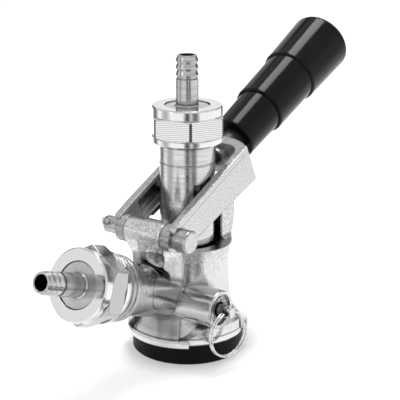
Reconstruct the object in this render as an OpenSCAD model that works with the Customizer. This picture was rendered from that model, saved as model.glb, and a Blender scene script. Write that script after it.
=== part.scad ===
/* [Body] */
// Radius of the barrel that guides the probe
barrel_r = 17.5; // [16:0.1:18]
// Height of the barrel's open rim above the bottom face
barrel_top = 47; // [45:0.5:49]
// Radius of the two bayonet lugs
lug_r = 25.5; // [24.5:0.1:26]
// Angle that each lug spans
lug_angle = 93; // [80:1:96]
// Height of the rear column that catches the plunger
column_top = 68; // [64:0.5:70]
// Outer radius of the rubber ring at the bottom
seal_r = 23.4; // [22.5:0.1:24]
// Height of the rubber ring at the bottom
seal_h = 8.4; // [8:0.1:8.6]

/* [Gas side] */
// Upward tilt of the gas inlet
gas_tilt = 19.5; // [15:0.5:22]
// Height at which the gas inlet's axis meets the probe's axis
gas_z = 22.7; // [22:0.1:23]
// Distance of the gas nut's outer face from the probe's axis
gas_face = 73.3; // [72:0.1:75]

/* [Relief valve] */
// Distance of the relief valve's axis in front of the probe's axis
relief_y = 12.5; // [12:0.1:13]
// Height of the relief valve's axis
relief_z = 25.4; // [25:0.1:26]
// Radius of the relief valve's tube
relief_r = 7.9; // [7.7:0.1:8.1]
// Distance of the tube's open end from the probe's axis
relief_end = 26.3; // [26:0.1:26.6]
// Outer diameter of the pull ring
ring_d = 19.6; // [18:0.2:20]

/* [Probe] */
// Radius of the probe
probe_r = 11.5; // [11.3:0.05:11.5]
// Height of the beer nut's top face, with the handle raised
nut_top = 104.4; // [104:0.1:106]

/* [Nuts and tailpieces] */
// Width of the union nuts across their flats
nut_af = 28; // [27:0.5:28]
// Radius of the union nuts' collars
nut_collar_r = 14.4; // [14.2:0.1:14.6]
// Radius of the hose barbs
barb_r = 4.6; // [4.5:0.05:4.7]
// Length of a tailpiece beyond its nut
barb_len = 20.3; // [19:0.1:22]

/* [Lever] */
// Distance of the hinge pin in front of the probe's axis
pin_y = 25.3; // [25.2:0.1:25.4]
// Height of the hinge pin
pin_z = 56.3; // [56.2:0.1:56.4]
// Radius of the hinge pin
pin_r = 3.5; // [3.4:0.05:3.5]
// Angle of the raised handle above the horizontal
handle_angle = 25; // [24.5:0.5:25.5]
// Angle that the handle swings down through
swing = 22; // [20:0.5:22]
// Half width of the lever over its arms
arm_out = 15.6; // [15.4:0.1:16]
// Half width of the body's hinge boss
boss_half = 9.24; // [9:0.02:9.24]

/* [Grip] */
// Distance of the grip's inner end from the hinge pin
grip_start = 63.4; // [63:0.1:64]
// Lengths of the grip's three steps
grip_steps = [21.6, 26.3, 30.7];
// Radius at the inner end of each step
grip_r = [9.9, 11.6, 13];
// Radius at the outer end of each step
grip_r_end = [10.5, 12.1, 14];
// Radius of the rounding at the grip's outer end
grip_round = 2.6; // [1.5:0.1:3]

/* [Hidden] */
$fn = 64;

chrome = "silver";
steel = "lightgray";
black_rubber = "#222222";
clear_rubber = "#e8e8e8";
black_plastic = "#181818";

// Clearances of the running fits and of the parts that only pass each other
running_gap = 0.08;
side_gap = 0.1;

// Heights and radii inside the body
rim_z = 7.8;
band_r = 24.2;
chamber_r = 13.6;
land_bottom = 32;
land_top = 41;
guide_r = probe_r + running_gap;
spigot_r = 18;
column_r = 20.6;
column_half = 12;
column_front = 8;

// Gas inlet, measured along its own axis
stub_r = 10.7;
flange_r = 13.4;
nut_len = 15.4;
collar_len = 3.9;
hex_len = 8.8;
flange_back = gas_face - nut_len - 7.6;
flange_front = gas_face - nut_len - 0.4;
thread_r = 11;
thread_gap = 5.6;
thread_end = gas_face - thread_gap;
valve_chamber_r = 7.4;

// Nuts
nut_corner_r = nut_af / sqrt(3);
nut_hole_r = 9.35;
nut_waist_r = 13;
nut_chamfer_r = nut_af / 2 - 0.25;
nut_lip = 2;
flange_len = 2.2;
washer_len = thread_gap - nut_lip - flange_len;
flange_part_r = 10.4;
barb_bore_r = 3.2;
neck_r = nut_hole_r - 0.35;

// Relief valve
relief_bore_r = 6.4;
relief_seat = 14;
stem_r = 2.6;
stem_disc_r = 5.6;
stem_hole_x = 29.6;
ring_wire_r = 0.4;
ring_pitch = 1.3;
stem_tip = 32;

// Probe, with the handle raised
probe_bottom = 9;
ball_seat_z = 90;
o_ring_r = 0.9;
o_ring_heights = [34.5, 38.5];
nut_bottom = nut_top - nut_len;
slot_z = 70.7;
slot_h = 5.2;
slot_x = 8.7;

// Lever, in its own frame: y along the handle, z square to it, origin on the hinge pin
eye_r = 6.2;
eye_in = boss_half + side_gap;
arm_in = 12.4;
arm_top = 6.6;
bar_inner = 52.8;
bar_outer = 57.7;
stud_r = 2.2;
stud_y = pin_y * cos(handle_angle) + (slot_z - pin_z) * sin(handle_angle);
stud_z = (slot_z - pin_z) * cos(handle_angle) - pin_y * sin(handle_angle);

stud_in = slot_x + 0.4;

// Hinge pin
pin_tail = -21.8;
pin_head = 21.1;
pin_head_r = 4.7;
split_r = 0.8;

// Grip and plunger, measured along the handle
rod_r = 2.3;
rod_tip = 47.6;
rod_collar = 64;
tube_start = 54.6;
tube_end = 98;
grip_wall = 108;
cap_r = 10.6;
cap_plug_r = 8.4;
lip_round = 0.6;
tube_r = 6;
grip_end = grip_start + grip_steps[0] + grip_steps[1] + grip_steps[2];

// Puts its children in the lever's frame, at the raised angle
module on_lever() {
    translate([0, -pin_y, pin_z]) rotate([handle_angle, 0, 0]) children();
}

// Puts its children on the gas inlet's axis: z runs outward from the probe's axis
module on_gas_axis() {
    translate([0, 0, gas_z]) rotate([90 - gas_tilt, 0, 0]) children();
}

// Puts its children on the relief valve's axis: z runs outward along the world's x
module on_relief_axis() {
    translate([0, -relief_y, relief_z]) rotate([0, 90, 0]) children();
}

// Turns z onto the handle's direction
module along_handle() {
    rotate([-90, 0, 0]) children();
}

// A ring sector from its section in the (radius, height) plane
module sector(from, to) {
    rotate([0, 0, from]) rotate_extrude(angle = to - from, $fn = 96) children();
}

// Body casting

// Barrel with its base, from its outline in the (radius, height) plane
module barrel() {
    rotate_extrude($fn = 96) polygon([
        [0, 1], [spigot_r, 1], [spigot_r, seal_h], [seal_r, seal_h], [seal_r, 9.6],
        [22.4, 12], [21.2, 14], [19.6, 17], [18.6, 20], [17.8, 25], [barrel_r, 31], [barrel_r, 42],
        [18.6, 47], [20, 52], [column_r, 57], [column_r, column_top - 0.8],
        [column_r - 0.8, column_top], [0, column_top]
    ]);
}

// Everything above the rim in front of the column and beside it, where the lever's arms pass;
// a fillet stays between the rim and the column
module column_cut() {
    fillet_r = 2.2;
    translate([-30, column_front - 60, barrel_top]) cube([60, 60, 40]);
    for (side = [0, 1]) mirror([side, 0, 0]) translate([column_half, -10, barrel_top]) {
        translate([0, 0, fillet_r]) cube([20, 60, 40]);
        translate([fillet_r, 0, 0]) cube([20, 60, 40]);
        translate([fillet_r, 0, fillet_r]) rotate([-90, 0, 0]) cylinder(r = fillet_r, h = 60);
    }
}

// Pad on the back of the column: its face is concentric with the hinge pin
module latch_pad() {
    intersection() {
        translate([-4.6, 12, 49]) cube([9.2, 12, column_top - 50]);
        translate([-10, -pin_y, pin_z]) rotate([0, 90, 0]) cylinder(r = rod_tip - 0.4, h = 20, $fn = 180);
    }
}

// One bayonet lug: a rim under a cone, then a band whose top climbs to the lug's end
module lug() {
    notch_r = seal_r + 0.15;
    start = -155;
    rim_over = 10;
    band_over = 71;
    // Rim, which runs on a little past the cone
    sector(start, start + lug_angle + rim_over) polygon([
        [16, seal_h], [notch_r, seal_h], [notch_r, rim_z], [lug_r - 0.4, rim_z], [lug_r, rim_z + 0.4],
        [lug_r, rim_z + 2.4], [lug_r - 0.9, rim_z + 3.2], [20, rim_z + 3.2], [16, 14]
    ]);
    // Cone
    sector(start, start + lug_angle) polygon([
        [16, rim_z + 2], [lug_r - 0.5, rim_z + 2], [lug_r - 0.06, rim_z + 3],
        [lug_r - 0.7, rim_z + 3.8], [21, 16.4], [18.6, 19.8], [16, 22]
    ]);
    intersection() {
        sector(start + lug_angle - 1, start + lug_angle + band_over) polygon([
            [16, rim_z + 1], [band_r - 0.3, rim_z + 1], [band_r, rim_z + 1.3], [band_r, 15.6],
            [band_r - 0.8, 16.6], [20.4, 18.6], [16, 21]
        ]);
        // The band's top lies on a tilted plane
        translate([13, -20.2, 10.9]) rotate([37.8, 4.4, 0]) translate([-80, -60, -60]) cube([160, 120, 60]);
    }
}

// Hinge boss with the web that carries it down to the gas inlet
module hinge_boss() {
    boss_r = 5.5;
    pad_r = 5.9;
    pad_from = -1.8;
    translate([-boss_half, -pin_y, pin_z]) rotate([0, 90, 0]) cylinder(r = boss_r, h = 2 * boss_half);
    translate([boss_half, 0, 0]) rotate([0, -90, 0]) linear_extrude(2 * boss_half) polygon([
        [33, -12], [36, -22.6], [41, -24.6], [47, -25.2], [pin_z - 3.6, -29.4], [pin_z + 3.6, -21.6],
        [barrel_top + 3.5, -16.4], [barrel_top, -14], [barrel_top, -12]
    ]);
    // Thicker pad down one side of the web, as high as the boss
    translate([pad_from, -pin_y, pin_z]) rotate([0, 90, 0]) cylinder(r = pad_r, h = boss_half - pad_from);
    translate([boss_half, 0, 0]) rotate([0, -90, 0]) linear_extrude(boss_half - pad_from) polygon([
        [38, -20], [41.5, -25.4], [43, -27.2], [46, -29.2], [50, -30.6], [pin_z, -pin_y - pad_r], [pin_z, -20]
    ]);
}

// Scooped recess low on the pad
module web_recess() {
    translate([6.4, -32, 47]) rotate([-12, 0, 0]) cylinder(r = 4.2, h = 12, center = true);
    translate([6.4, -32, 47]) sphere(r = 5.4);
}

// Gas inlet: stub, flange and the threaded end that the nut grips
module gas_inlet() {
    on_gas_axis() rotate_extrude() polygon([
        [0, 6], [stub_r, 6], [stub_r, flange_back - 0.6], [stub_r + 0.6, flange_back],
        [flange_r, flange_back], [flange_r, flange_back + 2.2], [flange_r - 0.5, flange_back + 2.5],
        [flange_r - 0.5, flange_back + 2.9], [flange_r, flange_back + 3.2], [flange_r, flange_back + 4.8],
        [flange_r - 0.5, flange_back + 5.1], [flange_r - 0.5, flange_back + 5.5],
        [flange_r, flange_back + 5.8], [flange_r, flange_front - 0.3],
        [flange_r - 0.3, flange_front], [thread_r, flange_front], [thread_r, thread_end], [0, thread_end]
    ]);
}

// Relief valve's hub and tube
module relief_body() {
    on_relief_axis() rotate_extrude() polygon([
        [0, -9], [9.3, -9], [10.4, -7.8], [10.4, -1.8], [relief_r + 0.5, 3], [relief_r, 3.4],
        [relief_r, relief_end - 0.4], [relief_r - 0.4, relief_end], [0, relief_end]
    ]);
}

// Bore for the probe: gas chamber, guide land and open counterbore
module probe_bore() {
    cylinder(r = chamber_r, h = land_bottom);
    cylinder(r = guide_r, h = column_top + 1);
    translate([0, 0, land_top]) cylinder(r = chamber_r, h = 60);
    for (height = o_ring_heights) translate([0, 0, height - o_ring_r - 0.1])
        cylinder(r = guide_r + 2 * o_ring_r + 0.04, h = 2 * o_ring_r + 0.2);
}

module body_casting() {
    color(chrome) difference() {
        union() {
            difference() {
                barrel();
                column_cut();
            }
            latch_pad();
            lug();
            rotate([0, 0, 180]) lug();
            hinge_boss();
            gas_inlet();
            relief_body();
        }
        probe_bore();
        web_recess();
        translate([-20, -pin_y, pin_z]) rotate([0, 90, 0]) cylinder(r = pin_r, h = 40);
        // Gas passage and the check valve's chamber
        on_gas_axis() {
            cylinder(r = 3.2, h = 50);
            translate([0, 0, 46]) cylinder(r = valve_chamber_r, h = 30);
        }
        // Relief passage, valve seat and chamber
        on_relief_axis() {
            translate([0, 0, 2]) cylinder(r = 1.8, h = 20);
            translate([0, 0, relief_seat]) cylinder(r = relief_bore_r, h = 20);
        }
        // Pocket that the plunger drops into when the handle is down
        translate([0, -pin_y, pin_z]) rotate([handle_angle - swing, 0, 0]) along_handle()
            translate([0, 0, rod_tip - 3.4]) cylinder(r = rod_r + 0.5, h = 20);
    }
}

// Rubber ring that seals on the keg's neck, with a lip under the spigot
module body_seal() {
    color(black_rubber) rotate_extrude($fn = 96) polygon([
        [14.8, 0], [seal_r - 0.7, 0], [seal_r, 0.7], [seal_r, seal_h],
        [spigot_r, seal_h], [spigot_r, 1], [14.8, 1]
    ]);
}

// Hinge pin

// Headed pin, drilled across its tail
module hinge_pin() {
    color(steel) difference() {
        translate([0, -pin_y, pin_z]) rotate([0, 90, 0]) rotate_extrude() polygon([
            [0, pin_tail], [pin_r - 0.5, pin_tail], [pin_r, pin_tail + 0.5], [pin_r, arm_out + 0.3],
            [pin_head_r, arm_out + 0.3], [pin_head_r, pin_head - 0.6], [pin_head_r - 0.6, pin_head],
            [0, pin_head]
        ]);
        on_split_pin() translate([0, 0, -10]) cylinder(r = split_r, h = 20);
    }
}

// Puts z on the axis of the hole across the pin's tail
module on_split_pin() {
    translate([pin_tail + 2.6, -pin_y, pin_z]) rotate([58, 0, 0]) children();
}

// Split pin: its eye in front, its shank through the hinge pin and its legs spread behind
module hinge_split_pin() {
    color(steel) on_split_pin() {
        translate([0, 0, -pin_r - 2.2]) cylinder(r = split_r, h = 2 * pin_r + 2.8);
        translate([0, 0, pin_r + 1.7]) rotate([0, 90, 0])
            rotate_extrude(convexity = 4) translate([1.5, 0]) circle(r = 0.55, $fn = 24);
        for (side = [-1, 1]) translate([0, 0, -pin_r - 1.8]) rotate([0, 180 + 28 * side, 0])
            cylinder(r = 0.6, h = 3, $fn = 24);
    }
}

// Union nut, tailpiece and seals of the two hose connections

// Union nut on the z axis, its outer face at z = 0 and its thread below
module union_nut(corner_angle) {
    hex_top = -collar_len;
    hex_bottom = hex_top - hex_len;
    difference() {
        union() {
            rotate_extrude($fn = 96) polygon([
                [0, 0], [nut_collar_r - 0.5, 0], [nut_collar_r, -0.5], [nut_collar_r, hex_top],
                [nut_waist_r, hex_top], [nut_waist_r, hex_bottom], [nut_collar_r, hex_bottom],
                [nut_collar_r, -nut_len + 0.5], [nut_collar_r - 0.5, -nut_len], [0, -nut_len]
            ]);
            // The hexagon, its corners turned down at both ends
            intersection() {
                rotate([0, 0, corner_angle]) translate([0, 0, hex_bottom])
                    cylinder(r = nut_corner_r, h = hex_len, $fn = 6);
                rotate_extrude($fn = 96) polygon([
                    [0, hex_top + 0.2], [nut_chamfer_r, hex_top + 0.2], [nut_corner_r + 0.4, hex_top - 1.2],
                    [nut_corner_r + 0.4, hex_bottom + 1.2], [nut_chamfer_r, hex_bottom - 0.2],
                    [0, hex_bottom - 0.2]
                ]);
            }
        }
        translate([0, 0, -nut_len - 1]) cylinder(r = thread_r, h = nut_len + 1 - nut_lip);
        translate([0, 0, -nut_len]) cylinder(r = nut_hole_r, h = nut_len + 1);
    }
}

// Barbed tailpiece on the z axis, the nut's outer face at z = 0
module tailpiece() {
    root_r = barb_r - 0.5;
    tooth_step = 2.85;
    first_tooth = barb_len - 2.3 - 2 * tooth_step;
    difference() {
        union() {
            // Flange under the nut's lip, then the plain neck
            rotate_extrude() polygon([
                [0, -nut_lip - flange_len], [flange_part_r, -nut_lip - flange_len],
                [flange_part_r, -nut_lip - 0.1], [neck_r, -nut_lip], [neck_r, -0.4],
                [barb_r + 0.5, -0.4], [barb_r, 0.1],
                [barb_r, first_tooth - 1.6], [root_r, first_tooth - 1.6], [root_r, barb_len - 1],
                [root_r - 0.1, barb_len], [0, barb_len]
            ]);
            for (i = [0 : 2]) translate([0, 0, first_tooth + i * tooth_step]) rotate_extrude() polygon([
                [0, -0.25], [barb_r, -0.25], [barb_r, 0.25], [root_r, 1.7], [0, 1.7]
            ]);
        }
        translate([0, 0, -10]) cylinder(r = barb_bore_r, h = 40);
    }
}

// Puts its children on the beer connection: z up, the nut's top face at z = 0
module on_beer_side() {
    translate([0, 0, nut_top]) children();
}

// Puts its children on the gas connection: z outward, the nut's outer face at z = 0
module on_gas_side() {
    on_gas_axis() translate([0, 0, gas_face]) children();
}

module gas_nut() {
    color(chrome) on_gas_side() union_nut(30);
}

module gas_tailpiece() {
    color(steel) on_gas_side() tailpiece();
}

// Duckbill valve: its flange is clamped by the tailpiece, its bill points inward
module gas_check_valve() {
    color(clear_rubber) on_gas_axis() difference() {
        union() {
            translate([0, 0, thread_end]) cylinder(r = flange_part_r, h = washer_len);
            translate([0, 0, thread_end - 9]) cylinder(r = 6, h = 9);
            // The bill narrows to a slit across
            intersection() {
                translate([0, 0, thread_end - 16]) cylinder(r = 6, h = 8);
                translate([-7, 0, thread_end - 9]) rotate([0, 90, 0]) linear_extrude(14)
                    polygon([[0, -6], [6.6, -1.1], [6.6, 1.1], [0, 6], [-1, 6], [-1, -6]]);
            }
        }
        translate([0, 0, thread_end - 8]) cylinder(r = 4.2, h = 12);
        translate([-3.6, -0.25, thread_end - 17]) cube([7.2, 0.5, 12]);
    }
}

module beer_nut() {
    color(chrome) on_beer_side() union_nut(12);
}

module beer_tailpiece() {
    color(steel) on_beer_side() tailpiece();
}

module beer_washer() {
    color(clear_rubber) on_beer_side() difference() {
        translate([0, 0, -thread_gap]) cylinder(r = flange_part_r, h = washer_len);
        translate([0, 0, -10]) cylinder(r = 4.4, h = 20);
    }
}

// Relief valve

// Crimped-in ring that guides the stem and backs the spring
module relief_retainer() {
    color(steel) on_relief_axis() difference() {
        translate([0, 0, relief_end - 2.4]) cylinder(r = relief_bore_r, h = 1.6);
        translate([0, 0, relief_end - 4]) cylinder(r = stem_r + 0.7, h = 6);
        // Groove pressed round the ring as it is crimped
        translate([0, 0, relief_end - 1.1]) rotate_extrude() translate([5.3, 0]) square([0.5, 1]);
    }
}

module relief_spring() {
    start = relief_seat + 4;
    wire_r = 0.4;
    turns = 3;
    color(steel) on_relief_axis() translate([0, 0, start])
        coil(4.6, wire_r, (relief_end - 2.4 - start - 2 * wire_r) / turns, turns);
}

// Stem: disc that holds the seal, shaft, and flattened tip drilled for the ring
module relief_stem() {
    color(steel) on_relief_axis() difference() {
        rotate_extrude() polygon([
            [0, relief_seat + 0.2], [1.3, relief_seat + 0.2], [1.3, relief_seat + 1.8],
            [stem_disc_r, relief_seat + 1.8], [stem_disc_r, relief_seat + 3.6], [stem_r, relief_seat + 3.8],
            [stem_r, stem_tip - 0.6], [stem_r - 0.6, stem_tip], [0, stem_tip]
        ]);
        // Two flats, then the hole across them
        for (side = [-1, 1]) translate([0, side * 3.7, relief_end + 11]) cube([20, 4, 20], center = true);
        translate([0, 0, stem_hole_x]) rotate([90, 0, 0]) cylinder(r = 1.65, h = 20, center = true);
    }
}

// Rubber disc that closes the passage
module relief_seal() {
    color(black_rubber) on_relief_axis() difference() {
        translate([0, 0, relief_seat + 0.2]) cylinder(r = 5.3, h = 1.6);
        translate([0, 0, relief_seat - 1]) cylinder(r = 1.3, h = 5);
    }
}

// Pull ring: two turns of wire through the stem's hole
module pull_ring() {
    wire_mid = ring_d / 2 - ring_wire_r;
    color(steel) translate([stem_hole_x, -relief_y, relief_z - 0.2 - wire_mid]) rotate([0, 0, -11])
        rotate([0, 90, 0]) rotate([0, 0, 90]) translate([0, 0, -1.25 * ring_pitch])
        coil(wire_mid, ring_wire_r, ring_pitch, 2, 24);
}

// Points along a coil on the z axis, its wire's centre at the given radius
function coil_points(radius, pitch, turns, per_turn) = [
    for (i = [0 : turns * per_turn])
        [radius * cos(360 * i / per_turn), radius * sin(360 * i / per_turn), pitch * i / per_turn]
];

// Least gap between a coil's wire and its neighbouring turns
function coil_gap(radius, wire_r, pitch, turns, per_turn) =
    let (points = coil_points(radius, pitch, turns, per_turn))
    min([for (i = [0 : len(points) - 1], j = [i + floor(per_turn / 2) : 1 : len(points) - 1])
        norm(points[i] - points[j])]) - 2 * wire_r;

// Wire swept along a coil, six-sided
module coil(radius, wire_r, pitch, turns, per_turn = 8) {
    count = turns * per_turn + 1;
    echo(least_gap = coil_gap(radius, wire_r, pitch, turns, per_turn));
    sides = 6;
    slope = atan(pitch / (2 * PI * radius));
    points = [
        for (i = [0 : count - 1], k = [0 : sides - 1])
            let (turn = 360 * i / per_turn, a = 360 * k / sides,
                 out = wire_r * cos(a), up = wire_r * sin(a))
            [(radius + out) * cos(turn) + up * sin(slope) * sin(turn),
             (radius + out) * sin(turn) - up * sin(slope) * cos(turn),
             wire_r + pitch * i / per_turn + up * cos(slope)]
    ];
    skin = [
        for (i = [0 : count - 2], k = [0 : sides - 1], half = [0, 1])
            let (a = i * sides + k, b = i * sides + (k + 1) % sides)
            half == 0 ? [a, b, b + sides] : [a, b + sides, a + sides]
    ];
    caps = [for (k = [1 : sides - 2], side = [0, 1])
        let (last = (count - 1) * sides)
        side == 0 ? [0, k + 1, k] : [last, last + k, last + k + 1]];
    polyhedron(points = points, faces = concat(skin, caps), convexity = 10);
}

// Lever and handle

// Side outline of the lever, z square to the handle
module yoke_side() {
    rotate([90, 0, 90]) translate([0, 0, -30]) linear_extrude(60) union() {
        circle(r = eye_r);
        polygon([
            [0, -eye_r], [8, -6.6], [22, -7.6], [53, -10.2], [54, -10.1], [80, -10.1],
            [80, arm_top], [8, arm_top], [0, eye_r]
        ]);
    }
}

// Plan outline of the lever: two arms joined by a crossbar with a curved end
module yoke_plan() {
    end_r = 31;
    corner_r = 5.4;
    translate([0, 0, -20]) linear_extrude(40) difference() {
        intersection() {
            translate([-arm_out, -10]) square([2 * arm_out, 80]);
            translate([0, bar_outer - end_r]) circle(r = end_r, $fn = 180);
        }
        // The opening between the arms, with rounded inner corners
        translate([-arm_in, -20]) square([2 * arm_in, 20 + bar_inner - corner_r]);
        translate([corner_r - arm_in, 0]) square([2 * (arm_in - corner_r), bar_inner]);
        for (side = [-1, 1]) translate([side * (arm_in - corner_r), bar_inner - corner_r])
            circle(r = corner_r);
    }
}

// Long recess in each arm's inner face, which leaves a lip above and a rib below
module arm_recess() {
    depth = 1.9;
    for (side = [0, 1]) mirror([side, 0, 0]) translate([arm_in - 1, 0, 0]) {
        translate([0, 11, -1.8]) cube([1 + depth, 34, 6.6]);
        translate([0, 13, -7.2]) cube([1 + depth / 2, 30, 2.6]);
    }
}

module lever_yoke() {
    color(chrome) on_lever() difference() {
        union() {
            difference() {
                intersection() {
                    yoke_plan();
                    yoke_side();
                }
                arm_recess();
            }
            for (side = [-1, 1]) {
                // Round boss inside each eye
                translate([side * (eye_in + arm_in + 1) / 2, 0, 0]) rotate([0, 90, 0])
                    cylinder(r = 5.6, h = arm_in + 1 - eye_in, center = true);
                // Stud that rides in the probe's slot, on a round seat
                translate([side * (stud_in + arm_in + 1) / 2, stud_y, stud_z]) rotate([0, 90, 0])
                    cylinder(r = stud_r, h = arm_in + 1 - stud_in, center = true);
                translate([side * (arm_in + 1), stud_y, stud_z]) rotate([0, 90, 0])
                    cylinder(r = 3.4, h = 2, center = true);
            }
            // Round collar on the crossbar's inner face
            along_handle() translate([0, 0, bar_inner - 2.6]) cylinder(r = 4.6, h = 4);
        }
        translate([-20, 0, 0]) rotate([0, 90, 0]) cylinder(r = pin_r + running_gap, h = 40);
        along_handle() cylinder(r = rod_r + running_gap, h = 80);
        along_handle() translate([0, 0, tube_start]) cylinder(r = tube_r, h = 20);
    }
}

// Plastic tube fixed in the crossbar: the grip slides on it and the spring sits in it
module handle_tube() {
    color(black_plastic) on_lever() along_handle() difference() {
        translate([0, 0, tube_start]) cylinder(r = tube_r, h = tube_end - tube_start);
        translate([0, 0, tube_start - 1]) cylinder(r = rod_r + running_gap, h = 80);
        translate([0, 0, tube_start + 1]) cylinder(r = 4.6, h = tube_end - 3 - tube_start);
    }
}

module latch_spring() {
    color(steel) on_lever() along_handle() translate([0, 0, rod_collar + 2])
        coil(3.6, 0.45, (tube_end - 2 - rod_collar - 2 - 0.9) / 10, 10);
}

// Outline of one step of the grip, from its rounded lip to its far end
function step_outline(start, length, lip_r, end_r) = concat(
    [for (a = [0 : 15 : 90]) [lip_r - lip_round * (1 - sin(a)), start + 2 * lip_round * (1 - cos(a))]],
    [[end_r, start + length]]
);

// Rounded corner at the grip's outer end
function end_outline() = [
    for (a = [15 : 15 : 90])
        [grip_r_end[2] - grip_round * (1 - cos(a)), grip_end - grip_round * (1 - sin(a))]
];

// Plastic grip in three widening steps, hollow at both ends
module grip() {
    second = grip_start + grip_steps[0];
    third = second + grip_steps[1];
    color(black_plastic) on_lever() along_handle() difference() {
        rotate_extrude($fn = 96) polygon(concat(
            [[0, grip_start]],
            step_outline(grip_start, grip_steps[0], grip_r[0], grip_r_end[0]),
            step_outline(second, grip_steps[1], grip_r[1], grip_r_end[1]),
            step_outline(third, grip_steps[2] - grip_round, grip_r[2], grip_r_end[2]),
            end_outline(),
            [[0, grip_end]]
        ));
        cylinder(r = tube_r + 0.15, h = grip_wall);
        cylinder(r = rod_r, h = 200);
        translate([0, 0, grip_wall + 5]) cylinder(r = cap_plug_r, h = 80);
        translate([0, 0, grip_end - 2]) cylinder(r = cap_r, h = 10);
    }
}

// Disc that closes the grip's outer end, with a plug that holds it
module grip_cap() {
    color(black_plastic) on_lever() along_handle() difference() {
        union() {
            translate([0, 0, grip_end - 2]) cylinder(r = cap_r, h = 2.2);
            translate([0, 0, grip_end - 6]) cylinder(r = cap_plug_r, h = 4.2);
        }
        translate([0, 0, grip_end - 7]) cylinder(r = 7, h = 5);
    }
}

// Rod that latches on the column, with the collar that the spring pushes
module latch_plunger() {
    color(black_plastic) on_lever() along_handle() rotate_extrude() polygon([
        [0, rod_tip], [rod_r - 0.5, rod_tip], [rod_r, rod_tip + 0.5], [rod_r, rod_collar],
        [4.4, rod_collar], [4.4, rod_collar + 2], [rod_r, rod_collar + 2],
        [rod_r, grip_wall + 10], [0, grip_wall + 10]
    ]);
}

// Nut that holds the grip on the rod
module plunger_nut() {
    color(steel) on_lever() along_handle() difference() {
        translate([0, 0, grip_wall + 5]) cylinder(r = 8 / sqrt(3), h = 4, $fn = 6);
        translate([0, 0, grip_wall]) cylinder(r = rod_r, h = 20);
    }
}

// Probe

// Brushed tube with a slot across each side for the lever's studs
module probe_tube() {
    color(steel) difference() {
        rotate_extrude($fn = 96) polygon([
            [0, probe_bottom], [9.2, probe_bottom], [9.2, probe_bottom + 7], [probe_r, probe_bottom + 7.6],
            [probe_r, 80.6], [probe_r - 0.3, 80.8], [probe_r - 0.3, 81.2], [probe_r, 81.4],
            [probe_r, nut_bottom - 0.8], [thread_r, nut_bottom - 0.4], [thread_r, nut_top - thread_gap],
            [0, nut_top - thread_gap]
        ]);
        // Beer passage with the ball's seat and chamber
        cylinder(r = 5, h = ball_seat_z - 4);
        cylinder(r = 2.8, h = ball_seat_z + 1);
        translate([0, 0, ball_seat_z]) cylinder(r = 5.2, h = 40);
        for (side = [-1, 1]) translate([side * (slot_x + 10), 0, slot_z]) cube([20, 40, slot_h], center = true);
    }
}

// O-ring that seals round the probe, at the given height
module o_ring(height) {
    color(black_rubber) translate([0, 0, height]) rotate_extrude($fn = 96)
        translate([guide_r + 0.02 + o_ring_r, 0]) circle(r = o_ring_r, $fn = 32);
}

module upper_o_ring() {
    o_ring(o_ring_heights[1]);
}

module lower_o_ring() {
    o_ring(o_ring_heights[0]);
}

// Rubber seal snapped on the probe's lower end
module probe_seal() {
    color(black_rubber) rotate_extrude($fn = 96) polygon([
        [5.2, 4], [8.4, 3.2], [10.2, 4.6], [10.9, 8], [10.4, 11], [11, probe_bottom + 6.8],
        [9.2, probe_bottom + 6.8], [9.2, probe_bottom], [5.2, probe_bottom]
    ]);
}

// Check ball that floats off its seat as beer flows
module beer_ball() {
    color(steel) translate([0, 0, ball_seat_z + sqrt(3.6 * 3.6 - 2.8 * 2.8) + 0.02]) sphere(r = 3.6);
}

// Pierced disc that keeps the ball in the probe
module ball_retainer() {
    color(steel) translate([0, 0, nut_top - thread_gap - 1.4]) difference() {
        cylinder(r = 5.2, h = 1.4);
        for (a = [45 : 90 : 315]) rotate([0, 0, a]) translate([3, 0, -1]) cylinder(r = 1.5, h = 4, $fn = 24);
    }
}

body_casting();
body_seal();
hinge_pin();
hinge_split_pin();
gas_check_valve();
gas_tailpiece();
gas_nut();
relief_retainer();
relief_spring();
relief_stem();
relief_seal();
pull_ring();
lever_yoke();
handle_tube();
latch_spring();
grip();
grip_cap();
latch_plunger();
plunger_nut();
probe_tube();
upper_o_ring();
lower_o_ring();
probe_seal();
beer_washer();
beer_tailpiece();
beer_nut();
beer_ball();
ball_retainer();
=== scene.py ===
import math

import bmesh
import bpy
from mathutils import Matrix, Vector

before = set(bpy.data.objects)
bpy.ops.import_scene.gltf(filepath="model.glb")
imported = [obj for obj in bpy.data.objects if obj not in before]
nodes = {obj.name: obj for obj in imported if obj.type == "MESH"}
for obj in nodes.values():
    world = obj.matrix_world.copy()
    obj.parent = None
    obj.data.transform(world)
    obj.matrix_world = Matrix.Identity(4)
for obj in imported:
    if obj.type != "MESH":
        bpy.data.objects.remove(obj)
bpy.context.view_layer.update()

# The Mix node's sockets by number, because each data type has its own pair
FACTOR, FLOAT_A, FLOAT_B, COLOUR_A, COLOUR_B, COLOUR_OUT = 0, 2, 3, 6, 7, 2

# Brightness of the world to diffuse rays, and of its ceiling to glossy ones
DIFFUSE_LEVEL = 0.4
CEILING_LEVEL = 0.75
# Heights of the view direction between which the walls fade to the ceiling
CEILING_FADE = (0.3, 0.65)
# Directions of the studio's dark panels, the half angle of each in degrees, and its brightness
STUDIO_PANELS = (
    ((-0.57, -0.716, 0.404), 7, 0.12),
    ((-0.57, 0.55, 0.61), 9, 0.12),
    ((-0.95, 0.3, 0.1), 20, 0.15),
    ((0.3, 0.95, 0.1), 22, 0.2),
)
# The floor and cards lie this far under and over the part's bottom plane
FLOOR_GAP = 0.0002
FLOOR_COLOUR = (0.86, 0.86, 0.87, 1)
FLOOR_GLOW = 0.6

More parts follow.
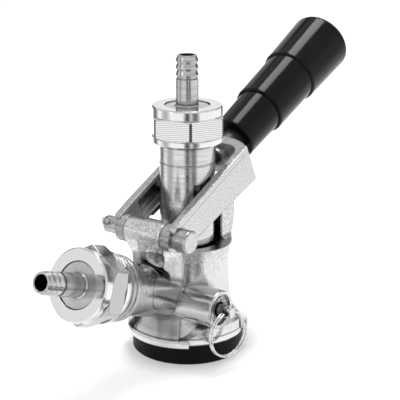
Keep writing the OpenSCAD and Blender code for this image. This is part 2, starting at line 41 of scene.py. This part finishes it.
# Turns that bring another direction to z: none, x, y, the gas inlet's axis, the square to the lever
NO_TURN = (0, 0, 0)
X_TURN = (0, math.radians(-90), 0)
Y_TURN = (math.radians(90), 0, 0)
GAS_TURN = (math.radians(-70.5), 0, 0)
LEVER_TURN = (math.radians(-25), 0, 0)
ALONG_X = (1, 0, 0)
ALONG_Z = (0, 0, 1)

# Places on the part, in metres: centres in the YZ plane, and ranges along an axis
RELIEF_CENTRE = (0, -0.0125, 0.0254)
RELIEF_RADIUS = 0.0082
RELIEF_TUBE_X = (0.0034, 0.0259)
HUB_SHADE_LINE_CENTRE = (0, -0.0291, 0.0345)
HUB_SHADE_LINE_RADII = (0.0072, 0.0076)
HUB_SHADE_LINE_X = (0.002, 0.02)
HUB_SHADE_LINE_Y = (-0.04, -0.0305)
RIM_Z = (0.0075, 0.0112)
RIM_SHADE_LINE_Z = (0.0113, 0.0117)
GROUND_Z = (0.036, 0.048)
BOSS_Y = (-0.04, -0.017)
BOSS_Z = (0.044, 0.047)
INLET_Y = (-0.075, -0.021)
INLET_Z = (0.014, 0.046)
LEVER_CREASE_SHADE = (0.0657, 0.066)
LEVER_INSIDE_X = 0.0128
# The union nuts' hexagon starts and ends this far under their outer face
HEXAGON_TOP = 0.0039
HEXAGON_BOTTOM = 0.0127
HEXAGON_CORNER = 0.01617

# Camera and background


def add_camera(place, target, lens):
    """A level camera that looks from place to target, with a 36 mm sensor."""
    data = bpy.data.cameras.new("camera")
    data.sensor_width = 36
    data.lens = lens
    data.clip_start = 0.01
    camera = bpy.data.objects.new("camera", data)
    bpy.context.scene.collection.objects.link(camera)
    camera.location = place
    camera.rotation_euler = (Vector(target) - Vector(place)).to_track_quat("-Z", "Y").to_euler()
    bpy.context.scene.camera = camera


def add_lamp(name, place, size, power, target=(0, 0, 0.06)):
    """A soft rectangular lamp that faces the target."""
    data = bpy.data.lights.new(name, "AREA")
    data.shape = "RECTANGLE"
    data.size, data.size_y = size
    data.energy = power
    lamp = bpy.data.objects.new(name, data)
    bpy.context.scene.collection.objects.link(lamp)
    lamp.location = place
    lamp.rotation_euler = (Vector(target) - Vector(place)).to_track_quat("-Z", "Y").to_euler()
    lamp.visible_camera = False


def calculate(tree, operation, a, b):
    """Output of a Math node; a is a socket, and b a socket or a number."""
    node = tree.nodes.new("ShaderNodeMath")
    node.operation = operation
    tree.links.new(a, node.inputs[0])
    if isinstance(b, (int, float)):
        node.inputs[1].default_value = b
    else:
        tree.links.new(b, node.inputs[1])
    return node.outputs[0]


def map_range(tree, source, start, stop, low, high, interpolation="LINEAR"):
    """The source's range start..stop brought to low..high, and held there outside it."""
    fit = tree.nodes.new("ShaderNodeMapRange")
    fit.interpolation_type = interpolation
    fit.inputs["From Min"].default_value = start
    fit.inputs["From Max"].default_value = stop
    fit.inputs["To Min"].default_value = low
    fit.inputs["To Max"].default_value = high
    tree.links.new(source, fit.inputs["Value"])
    return fit.outputs["Result"]


def mix_node(tree, data_type, factor=None):
    """A Mix node; the factor is a socket or a number."""
    mix = tree.nodes.new("ShaderNodeMix")
    mix.data_type = data_type
    if isinstance(factor, (int, float)):
        mix.inputs[FACTOR].default_value = factor
    elif factor:
        tree.links.new(factor, mix.inputs[FACTOR])
    return mix


def background_rays(tree):
    """Socket that is 1 for camera, glossy and transmission rays."""
    rays = tree.nodes.new("ShaderNodeLightPath")
    total = rays.outputs["Is Camera Ray"]
    for name in ("Is Glossy Ray", "Is Transmission Ray"):
        total = calculate(tree, "MAXIMUM", total, rays.outputs[name])
    return total


def add_world():
    """White to the camera; a white studio with darker panels to glossy rays; plain light to the rest."""
    world = bpy.data.worlds.new("studio")
    bpy.context.scene.world = world
    world.use_nodes = True
    tree = world.node_tree
    new, link = tree.nodes.new, tree.links.new
    where = new("ShaderNodeTexCoord").outputs["Generated"]
    parts = new("ShaderNodeSeparateXYZ")
    link(where, parts.inputs[0])
    ceiling = map_range(tree, parts.outputs["Z"], *CEILING_FADE, 1, CEILING_LEVEL, "SMOOTHSTEP")
    shown = mix_node(tree, "FLOAT", background_rays(tree))
    shown.inputs[FLOAT_A].default_value = DIFFUSE_LEVEL
    link(ceiling, shown.inputs[FLOAT_B])
    level = shown.outputs[0]
    for direction, width, brightness in STUDIO_PANELS:
        dot = new("ShaderNodeVectorMath")
        dot.operation = "DOT_PRODUCT"
        dot.inputs[1].default_value = Vector(direction).normalized()
        link(where, dot.inputs[0])
        outer = math.cos(math.radians(width * 1.3))
        inner = math.cos(math.radians(width * 0.8))
        panel = map_range(tree, dot.outputs["Value"], outer, inner, 1, brightness, "SMOOTHSTEP")
        level = calculate(tree, "MULTIPLY", level, panel)
    camera_ray = new("ShaderNodeLightPath").outputs["Is Camera Ray"]
    pick = mix_node(tree, "FLOAT", camera_ray)
    link(level, pick.inputs[FLOAT_A])
    pick.inputs[FLOAT_B].default_value = 1
    link(pick.outputs[0], tree.nodes["Background"].inputs["Color"])


def add_card(name, azimuth, half_width, strength, near=0.05, far=0.9, height=0.0):
    """A dark card on the floor that only reflections see; its sides fade out.

    It is a fan round the origin, and with a height its far edge also stands up.
    """
    mesh = bmesh.new()
    shade = mesh.verts.layers.float.new("shade")
    steps = 12
    reach = [(near, FLOOR_GAP), (far, FLOOR_GAP)]
    if height:
        reach.append((far, height))
    rows = []
    for i in range(steps + 1):
        across = 2 * i / steps - 1
        angle = math.radians(azimuth + half_width * across)
        row = []
        for radius, z in reach:
            vert = mesh.verts.new((radius * math.cos(angle), radius * math.sin(angle), z))
            vert[shade] = strength * (1 - across * across)
            row.append(vert)
        rows.append(row)
    for a, b in zip(rows, rows[1:]):
        for k in range(len(a) - 1):
            mesh.faces.new((a[k], a[k + 1], b[k + 1], b[k]))
    data = bpy.data.meshes.new(name)
    mesh.to_mesh(data)
    mesh.free()
    card = bpy.data.objects.new(name, data)
    bpy.context.scene.collection.objects.link(card)
    card.visible_camera = False
    card.visible_diffuse = False
    card.visible_shadow = False
    card.visible_volume_scatter = False
    material = bpy.data.materials.new(name)
    material.use_nodes = True
    tree = material.node_tree
    shader = tree.nodes["Principled BSDF"]
    shader.inputs["Base Color"].default_value = (0.02, 0.02, 0.02, 1)
    shader.inputs["Roughness"].default_value = 0.9
    shader.inputs["Specular IOR Level"].default_value = 0.1
    stored = tree.nodes.new("ShaderNodeAttribute")
    stored.attribute_name = "shade"
    tree.links.new(stored.outputs["Fac"], shader.inputs["Alpha"])
    data.materials.append(material)


def add_floor():
    """White floor that keeps the shadow, with a painted contact shadow: a soft dark edge where the
    rubber ring meets it.
    """
    bpy.ops.mesh.primitive_plane_add(size=6, location=(0, 0, -FLOOR_GAP))
    floor = bpy.context.object
    floor.name = "floor"
    material = bpy.data.materials.new("floor")
    material.use_nodes = True
    tree = material.node_tree
    shader = tree.nodes["Principled BSDF"]
    shader.inputs["Base Color"].default_value = FLOOR_COLOUR
    shader.inputs["Roughness"].default_value = 0.6
    shader.inputs["Specular IOR Level"].default_value = 0.25
    glow = calculate(tree, "MULTIPLY", background_rays(tree), FLOOR_GLOW)
    tree.links.new(glow, shader.inputs["Emission Strength"])
    # Painted shadow: ambient occlusion darkens the floor's glow and colour near the part, a soft contact
    # shadow
    near = tree.nodes.new("ShaderNodeAmbientOcclusion")
    near.inputs["Distance"].default_value = 0.012
    near.samples = 16
    painted_contact_shadow = map_range(tree, near.outputs["AO"], 0.55, 1, 0.72, 1)
    grey = tree.nodes.new("ShaderNodeCombineColor")
    for channel in ("Red", "Green", "Blue"):
        tree.links.new(painted_contact_shadow, grey.inputs[channel])
    tree.links.new(grey.outputs[0], shader.inputs["Emission Color"])
    colour = mix_node(tree, "RGBA", 1)
    colour.blend_type = "MULTIPLY"
    colour.inputs[COLOUR_A].default_value = FLOOR_COLOUR
    tree.links.new(grey.outputs[0], colour.inputs[COLOUR_B])
    tree.links.new(colour.outputs[COLOUR_OUT], shader.inputs["Base Color"])
    floor.data.materials.append(material)


# Materials


class Surface:
    """A Principled material with helpers for textures in the object's own metres."""

    def __init__(self, name, colour, roughness, metallic=0.0, bevel=0.0004):
        self.material = bpy.data.materials.new(name)
        self.material.use_nodes = True
        self.tree = self.material.node_tree
        self.shader = self.tree.nodes["Principled BSDF"]
        self.shader.inputs["Base Color"].default_value = (*colour, 1)
        self.shader.inputs["Roughness"].default_value = roughness
        self.shader.inputs["Metallic"].default_value = metallic
        self.place = self.tree.nodes.new("ShaderNodeTexCoord").outputs["Object"]
        self.height = None
        self.bevel = bevel

    def noise(self, size, detail=3, stretch=(1, 1, 1), turn=NO_TURN):
        """Noise with features of about the given size in metres."""
        mapping = self.tree.nodes.new("ShaderNodeMapping")
        mapping.inputs["Scale"].default_value = stretch
        noise = self.tree.nodes.new("ShaderNodeTexNoise")
        noise.inputs["Scale"].default_value = 1 / size
        noise.inputs["Detail"].default_value = detail
        noise.inputs["Roughness"].default_value = 0.6
        self.tree.links.new(self.turned(turn), mapping.inputs["Vector"])
        self.tree.links.new(mapping.outputs[0], noise.inputs["Vector"])
        return noise.outputs["Fac"]

    def wave(self, period, turn, wobble=0.6):
        """Even lines across the turned z axis, 0 to 1, with the given period in metres."""
        # The node's bands repeat every pi / 10 units at a scale of 1
        wave = self.tree.nodes.new("ShaderNodeTexWave")
        wave.bands_direction = "Z"
        wave.inputs["Scale"].default_value = math.pi / 10 / period
        wave.inputs["Distortion"].default_value = wobble
        wave.inputs["Detail"].default_value = 2
        wave.inputs["Detail Scale"].default_value = 0.4
        self.tree.links.new(self.turned(turn), wave.inputs["Vector"])
        return wave.outputs["Fac"]

    def turned(self, turn):
        """The object's coordinates after a rotation."""
        if not any(turn):
            return self.place
        mapping = self.tree.nodes.new("ShaderNodeMapping")
        mapping.inputs["Rotation"].default_value = turn
        self.tree.links.new(self.place, mapping.inputs["Vector"])
        return mapping.outputs[0]

    def between(self, turn, low, high, soft=0.0003):
        """1 where the turned z coordinate lies between low and high, else 0."""
        height = self.height_above(turn)
        rise = self.spread(height, 0, 1, low - soft, low)
        fall = self.spread(height, 1, 0, high, high + soft)
        return self.product(rise, fall)

    def height_above(self, turn):
        """The turned z coordinate in metres."""
        parts = self.tree.nodes.new("ShaderNodeSeparateXYZ")
        self.tree.links.new(self.turned(turn), parts.inputs[0])
        return parts.outputs["Z"]

    def darken(self, source, depth):
        """Multiplies the colour by depth where the source is 1."""
        colour = self.shader.inputs["Base Color"]
        mix = mix_node(self.tree, "RGBA", 1)
        mix.blend_type = "MULTIPLY"
        mix.inputs[COLOUR_A].default_value = colour.default_value
        if colour.links:
            self.tree.links.new(colour.links[0].from_socket, mix.inputs[COLOUR_A])
        self.tree.links.new(self.spread(source, 1, depth, 0, 1), mix.inputs[COLOUR_B])
        self.tree.links.new(mix.outputs[COLOUR_OUT], colour)

    def product(self, a, b):
        return calculate(self.tree, "MULTIPLY", a, b)

    def spread(self, source, low, high, start=0.35, stop=0.65):
        """Maps start..stop, at first the middle of a noise, to the range low..high."""
        return map_range(self.tree, source, start, stop, low, high)

    def opposite(self, source):
        return self.spread(source, 1, 0, 0, 1)

    def tint(self, source, start, end):
        """Colour between start and end after the source."""
        mix = mix_node(self.tree, "RGBA", source)
        mix.inputs[COLOUR_A].default_value = (*start, 1)
        mix.inputs[COLOUR_B].default_value = (*end, 1)
        self.tree.links.new(mix.outputs[COLOUR_OUT], self.shader.inputs["Base Color"])

    def rough(self, source, low, high):
        self.tree.links.new(self.spread(source, low, high), self.shader.inputs["Roughness"])

    def raise_by(self, source, height):
        """Adds a bump of the given height in metres."""
        scaled = calculate(self.tree, "MULTIPLY", source, height)
        if self.height is not None:
            scaled = calculate(self.tree, "ADD", self.height, scaled)
        self.height = scaled

    def painted_crevice_shade(self, reach, depth):
        """Painted shade: darkens the colour in corners and gaps within reach, down to depth times the
        colour.
        """
        near = self.tree.nodes.new("ShaderNodeAmbientOcclusion")
        near.inputs["Distance"].default_value = reach
        near.samples = 8
        self.darken(self.spread(near.outputs["AO"], 1, 0, 0.3, 0.85), depth)

    def within(self, centre, axis, radius, soft=0.0003):
        """1 within radius of an axis-parallel line through centre, else 0."""
        offset = self.tree.nodes.new("ShaderNodeVectorMath")
        offset.operation = "SUBTRACT"
        offset.inputs[1].default_value = centre
        flat = self.tree.nodes.new("ShaderNodeVectorMath")
        flat.operation = "MULTIPLY"
        flat.inputs[1].default_value = [1 - along for along in axis]
        length = self.tree.nodes.new("ShaderNodeVectorMath")
        length.operation = "LENGTH"
        self.tree.links.new(self.place, offset.inputs[0])
        self.tree.links.new(offset.outputs[0], flat.inputs[0])
        self.tree.links.new(flat.outputs[0], length.inputs[0])
        return self.spread(length.outputs["Value"], 1, 0, radius, radius + soft)

    def done(self):
        """Joins the bump and the softened edges to the shader's normal."""
        normal = None
        if self.bevel:
            bevel = self.tree.nodes.new("ShaderNodeBevel")
            bevel.samples = 4
            bevel.inputs["Radius"].default_value = self.bevel
            normal = bevel.outputs[0]
        if self.height is not None:
            bump = self.tree.nodes.new("ShaderNodeBump")
            bump.inputs["Strength"].default_value = 1.0
            bump.inputs["Distance"].default_value = 1.0
            self.tree.links.new(self.height, bump.inputs["Height"])
            if normal:
                self.tree.links.new(normal, bump.inputs["Normal"])
            normal = bump.outputs[0]
        if normal:
            self.tree.links.new(normal, self.shader.inputs["Normal"])
        return self.material


def grey(level, blue=0.005):
    """A grey whose blue differs a little."""
    return level, level, level + blue


def cast_chrome():
    """Chrome over a grainy, slightly wavy sand casting; the relief valve's tube is polished."""
    s = Surface("cast_chrome", grey(0.6), 0.28, 1.0, 0.0007)
    height = s.height_above(NO_TURN)
    tube = s.product(s.within(RELIEF_CENTRE, ALONG_X, RELIEF_RADIUS), s.between(X_TURN, *RELIEF_TUBE_X))
    rim = s.between(NO_TURN, *RIM_Z)
    cast = s.product(s.opposite(tube), s.spread(rim, 1, 0.15, 0, 1))
    # The casting's low parts are ground smoother than its upper barrel
    cast = s.product(cast, s.spread(height, 0.4, 1, *GROUND_Z))
    s.raise_by(s.product(s.noise(0.0006, 3), cast), 0.00012)
    s.raise_by(s.noise(0.007, 2), 0.00014)
    s.rough(s.product(s.noise(0.003, 4), cast), 0.1, 0.3)
    grain = s.product(s.spread(s.noise(0.0009, 4), 1, 0, 0.38, 0.62), cast)
    s.tint(grain, grey(0.84), grey(0.52))
    # Painted light: the rest of the casting is darkened so that the hinge boss reads as its brightest
    # part
    painted_boss_light = s.product(s.between(Y_TURN, *BOSS_Y, 0.001), s.spread(height, 0, 1, *BOSS_Z))
    s.darken(s.opposite(painted_boss_light), 0.79)
    # The casting's colour is darker round the gas inlet
    s.darken(s.product(s.between(Y_TURN, *INLET_Y, 0.004), s.between(NO_TURN, *INLET_Z, 0.002)), 0.72)
    # Painted shade: thin dark lines in the groove over the lugs' rim, and at the step where the relief
    # valve's hub meets the gas inlet
    s.darken(s.between(NO_TURN, *RIM_SHADE_LINE_Z, 0.0002), 0.35)
    inner, outer = (s.within(HUB_SHADE_LINE_CENTRE, ALONG_X, radius, 0.0001) for radius in HUB_SHADE_LINE_RADII)
    outside = s.product(s.between(Y_TURN, *HUB_SHADE_LINE_Y), s.between(X_TURN, *HUB_SHADE_LINE_X))
    s.darken(s.product(s.product(outer, s.opposite(inner)), outside), 0.25)
    # Painted shade in corners and gaps
    s.painted_crevice_shade(0.004, 0.25)
    return s.done()


def lever_chrome():
    """Polished chrome over a ground casting."""
    s = Surface("lever_chrome", grey(0.66), 0.25, 1.0, 0.0009)
    grain = s.noise(0.0006, 3)
    s.raise_by(grain, 0.00009)
    s.raise_by(s.noise(0.009, 2), 0.00015)
    s.rough(s.noise(0.002, 4), 0.12, 0.24)
    s.tint(s.spread(grain, 0, 1, 0.36, 0.64), grey(0.38), grey(0.68))
    # Painted shade: a faint dark line along the arms' crease, under their top edge
    s.darken(s.between(LEVER_TURN, *LEVER_CREASE_SHADE, 0.0002), 0.7)
    # The arms' inner faces see each other, so they keep some diffuse light
    inside = s.between(X_TURN, -LEVER_INSIDE_X, LEVER_INSIDE_X)
    s.tree.links.new(s.spread(inside, 1, 0.45, 0, 1), s.shader.inputs["Metallic"])
    # Painted shade in corners and gaps
    s.painted_crevice_shade(0.0015, 0.3)
    return s.done()


def turned_steel(name, axis_turn=NO_TURN, scale=0.0006, light=0.66):
    """Steel with fine turning marks round an axis."""
    s = Surface(name, grey(0.6, -0.005), 0.25, 1.0, 0.0003)
    lines = s.noise(scale, 4, (0.05, 0.05, 1), axis_turn)
    s.raise_by(lines, 0.00001)
    s.rough(s.noise(0.0009, 3, (0.04, 0.04, 1), axis_turn), 0.14, 0.26)
    s.tint(s.spread(lines, 0, 1), grey(light - 0.18, -0.005), grey(light, -0.005))
    # Painted shade in corners and gaps
    s.painted_crevice_shade(0.003, 0.2)
    return s.done()


def nut_chrome(name, turn, face, flats=1, dark_reflection_corner_angle=None):
    """Polished collars and a hexagon with slanting milling marks.

    face is the outer face's height in the turned frame, and flats dulls the hexagon. With a corner
    angle, the hexagon's corners get dark lines, a painted reflection.
    """
    s = Surface(name, grey(0.74), 0.1, 1.0, 0.0005)
    hexagon = s.between(turn, face - HEXAGON_BOTTOM, face - HEXAGON_TOP)
    slant = (turn[0] + math.radians(18), math.radians(12), 0)
    marks = s.product(s.wave(0.0008, slant), hexagon)
    s.raise_by(marks, 0.00001)
    s.raise_by(s.noise(0.006, 2), 0.00004)
    s.rough(s.noise(0.002, 3), 0.07, 0.15)
    s.tint(s.product(s.spread(marks, 1, 0, 0.1, 0.9), hexagon), grey(0.72), grey(0.5))
    if dark_reflection_corner_angle is not None:
        # Painted reflection: dark lines along the six corners of the hexagon
        for corner in range(6):
            angle = math.radians(dark_reflection_corner_angle + 60 * corner)
            edge = (HEXAGON_CORNER * math.cos(angle), HEXAGON_CORNER * math.sin(angle), 0)
            s.darken(s.product(s.within(edge, ALONG_Z, 0.0006, 0.0002), hexagon), 0.12)
    s.darken(hexagon, flats)
    # Painted shade in corners and gaps
    s.painted_crevice_shade(0.002, 0.2)
    return s.done()


def wire_steel():
    """Bright drawn wire."""
    s = Surface("wire_steel", grey(0.6), 0.2, 1.0, 0)
    s.rough(s.noise(0.001, 3), 0.15, 0.3)
    s.tint(s.spread(s.noise(0.002, 3), 0, 1), grey(0.5), grey(0.7))
    return s.done()


def crimp_steel():
    """Hammered, mottled metal of a crimped ring."""
    s = Surface("crimp_steel", (0.5, 0.5, 0.49), 0.3, 1.0, 0.0002)
    s.raise_by(s.noise(0.0009, 3), 0.0003)
    s.rough(s.noise(0.001, 3), 0.2, 0.4)
    s.tint(s.spread(s.noise(0.0011, 3), 0, 1, 0.42, 0.58), (0.08, 0.075, 0.07), (0.5, 0.49, 0.48))
    return s.done()


def gloss_black():
    """Moulded gloss black plastic with a faint waviness and fine scuffs."""
    s = Surface("gloss_black", grey(0.004, 0), 0.1, 0.0, 0.0006)
    s.shader.inputs["Specular IOR Level"].default_value = 0.16
    s.raise_by(s.noise(0.012, 2), 0.00004)
    s.rough(s.noise(0.004, 5), 0.08, 0.16)
    s.tint(s.spread(s.noise(0.01, 4), 0, 1), grey(0.003, 0), grey(0.006, 0))
    return s.done()


def satin_black():
    """Black sleeve plastic with a satin skin."""
    s = Surface("satin_black", grey(0.02, 0), 0.4, 0.0, 0.0004)
    s.rough(s.noise(0.002, 4), 0.34, 0.5)
    s.tint(s.spread(s.noise(0.003, 4), 0, 1), grey(0.014, 0), grey(0.028, 0))
    return s.done()


def black_rubber():
    """Moulded rubber with a fine matt skin."""
    s = Surface("black_rubber", grey(0.008, 0), 0.5, 0.0, 0.0005)
    s.shader.inputs["Specular IOR Level"].default_value = 0.1
    s.raise_by(s.noise(0.0006, 4), 0.00002)
    s.rough(s.noise(0.002, 4), 0.4, 0.6)
    s.tint(s.spread(s.noise(0.004, 4), 0, 1), grey(0.003, 0), grey(0.008, 0))
    return s.done()


def white_rubber():
    """Milky rubber that lets some light in."""
    s = Surface("white_rubber", (0.8, 0.8, 0.78), 0.45, 0.0, 0.0003)
    s.shader.inputs["Subsurface Weight"].default_value = 0.3
    s.shader.inputs["Subsurface Radius"].default_value = (0.002, 0.002, 0.002)
    s.rough(s.noise(0.002, 3), 0.38, 0.52)
    return s.done()


LOOKS = {
    cast_chrome(): ["body_casting"],
    lever_chrome(): ["lever_yoke", "hinge_pin"],
    nut_chrome("beer_nut_chrome", NO_TURN, 0.1044, dark_reflection_corner_angle=12): ["beer_nut"],
    nut_chrome("gas_nut_chrome", GAS_TURN, 0.0809, flats=0.72): ["gas_nut"],
    turned_steel("probe_steel"): ["probe_tube"],
    turned_steel("beer_steel", scale=0.0008, light=0.56): [
        "beer_tailpiece", "beer_ball", "ball_retainer"],
    turned_steel("gas_steel", GAS_TURN, scale=0.0008, light=0.6): ["gas_tailpiece"],
    turned_steel("stem_steel", (0, math.radians(90), 0)): ["relief_stem"],
    crimp_steel(): ["relief_retainer"],
    wire_steel(): ["hinge_split_pin", "pull_ring", "relief_spring", "latch_spring", "plunger_nut"],
    gloss_black(): ["grip", "grip_cap"],
    satin_black(): ["handle_tube", "latch_plunger"],
    black_rubber(): ["body_seal", "upper_o_ring", "lower_o_ring", "probe_seal", "relief_seal"],
    white_rubber(): ["gas_check_valve", "beer_washer"],
}
for look, names in LOOKS.items():
    for name in names:
        piece = nodes[name]
        if not piece.material_slots:
            piece.data.materials.append(look)
        for slot in piece.material_slots:
            slot.material = look

add_camera((0.3049, -0.4018, 0.2165), (0.00413, 0.00313, 0.06387), 114.55)
add_world()
add_floor()
add_card("card_front", -28, 16, 0.85)
add_card("card_camera", -53, 13, 0.95)
add_card("card_left_front", -128, 20, 0.5)
add_card("card_left", 180, 20, 0.85, height=0.3)
add_lamp("softbox", (-0.06, 0.22, 0.9), (0.3, 0.5), 4.4, (0, 0.07, 0.1))
add_lamp("front", (-0.2, -0.6, 0.5), (0.12, 0.3), 0.25)

bpy.context.scene.view_settings.view_transform = "Standard"
